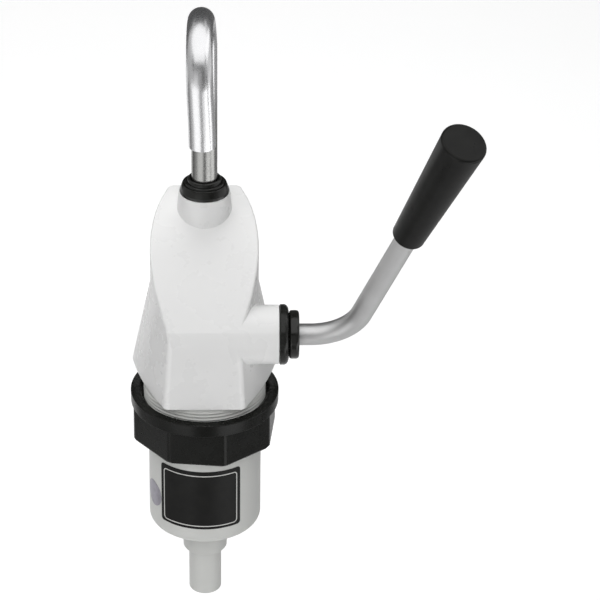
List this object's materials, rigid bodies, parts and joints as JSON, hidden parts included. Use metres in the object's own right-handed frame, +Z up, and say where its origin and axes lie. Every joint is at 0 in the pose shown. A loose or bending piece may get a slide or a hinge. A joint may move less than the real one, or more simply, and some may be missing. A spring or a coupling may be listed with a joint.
{
  "type": "deck-mounted manual hand pump",
  "caption": "Deck-mounted manual water pump: white head, swivel alloy gooseneck spout, side swing lever on a crank, piston cylinder below deck held by a flanged octagonal nut.",
  "frame": {"origin": "centre of the deck hole, on the plane of the base's underside", "axes": "+Z up along the pump axis, +X along the lever shaft towards the lever, the spout points towards -Y"},
  "size_m": [0.1357, 0.1158, 0.2653],
  "materials": {
    "white_plastic": "smooth moulded white",
    "grey_plastic": "satin moulded light grey",
    "inner_plastic": "moulded natural acetal",
    "black_rubber": "soft black rubber",
    "bearing_plastic": "dark bearing plastic",
    "black_plastic": "semi-gloss black",
    "nut_plastic": "satin black",
    "grip_rubber": "dull black hand grip",
    "spout_alloy": "polished aluminium",
    "lever_alloy": "satin aluminium",
    "steel": "bright stainless steel",
    "bronze": "cast gunmetal",
    "label_black": "matt black label with a thin pale border",
    "disc_film": "grey-violet film disc"
  },
  "bodies": {
    "base": {"housing": "white_plastic", "pump_cylinder": "grey_plastic", "neck_seal": "black_rubber", "spout_boot": "black_rubber", "spout_bush": "bearing_plastic", "spout_seals": "black_rubber", "gland_nut": "black_plastic", "shaft_wiper": "black_rubber", "shaft_bush": "bearing_plastic", "shaft_seal": "black_rubber", "shaft_end_bush": "bearing_plastic", "rod_guide": "inner_plastic", "inlet_cage": "inner_plastic", "label_plate": "label_black", "round_disc": "disc_film"},
    "spout": {"spout_tube": "spout_alloy", "spout_clip": "steel"},
    "lever": {"lever_arm": "lever_alloy", "lever_grip": "grip_rubber", "shaft_clip": "steel", "crank_arm": "bronze", "crank_pin": "steel", "crank_roller": "inner_plastic", "cross_pin": "steel"},
    "piston": {"piston_rod": "steel", "piston": "inner_plastic", "piston_seal": "black_rubber", "valve_stop": "inner_plastic", "piston_nut": "steel"},
    "transfer_valve": {"piston_valve": "black_rubber"},
    "inlet_valve_disc": {"inlet_valve": "black_rubber"},
    "nut": {"clamp_nut": "nut_plastic"}
  },
  "joints": [
    {"name": "lever_swing", "type": "hinge", "parent": "base", "child": "lever", "pos_m": [0, -0.0136, 0.0284], "axis": [1, 0, 0], "range_deg": [-60, 12]},
    {"name": "piston_stroke", "type": "slide", "parent": "base", "child": "piston", "axis": [0, 0, 1], "range_m": [-0.0142, 0.0029]},
    {"name": "transfer_valve_lift", "type": "slide", "parent": "piston", "child": "transfer_valve", "axis": [0, 0, 1], "range_m": [0, 0.0025]},
    {"name": "inlet_valve_lift", "type": "slide", "parent": "base", "child": "inlet_valve_disc", "axis": [0, 0, 1], "range_m": [0, 0.0025]},
    {"name": "spout_swivel", "type": "hinge", "parent": "base", "child": "spout", "pos_m": [0, 0.025, 0], "axis": [0, 0, 1], "continuous": true},
    {"name": "nut_travel", "type": "slide", "parent": "base", "child": "nut", "axis": [0, 0, 1], "range_m": [-0.015, 0.0038]}
  ],
  "couplings": [
    {"joint": "piston_stroke", "follows": "lever_swing", "m_per_rad": 0.0135}
  ]
}
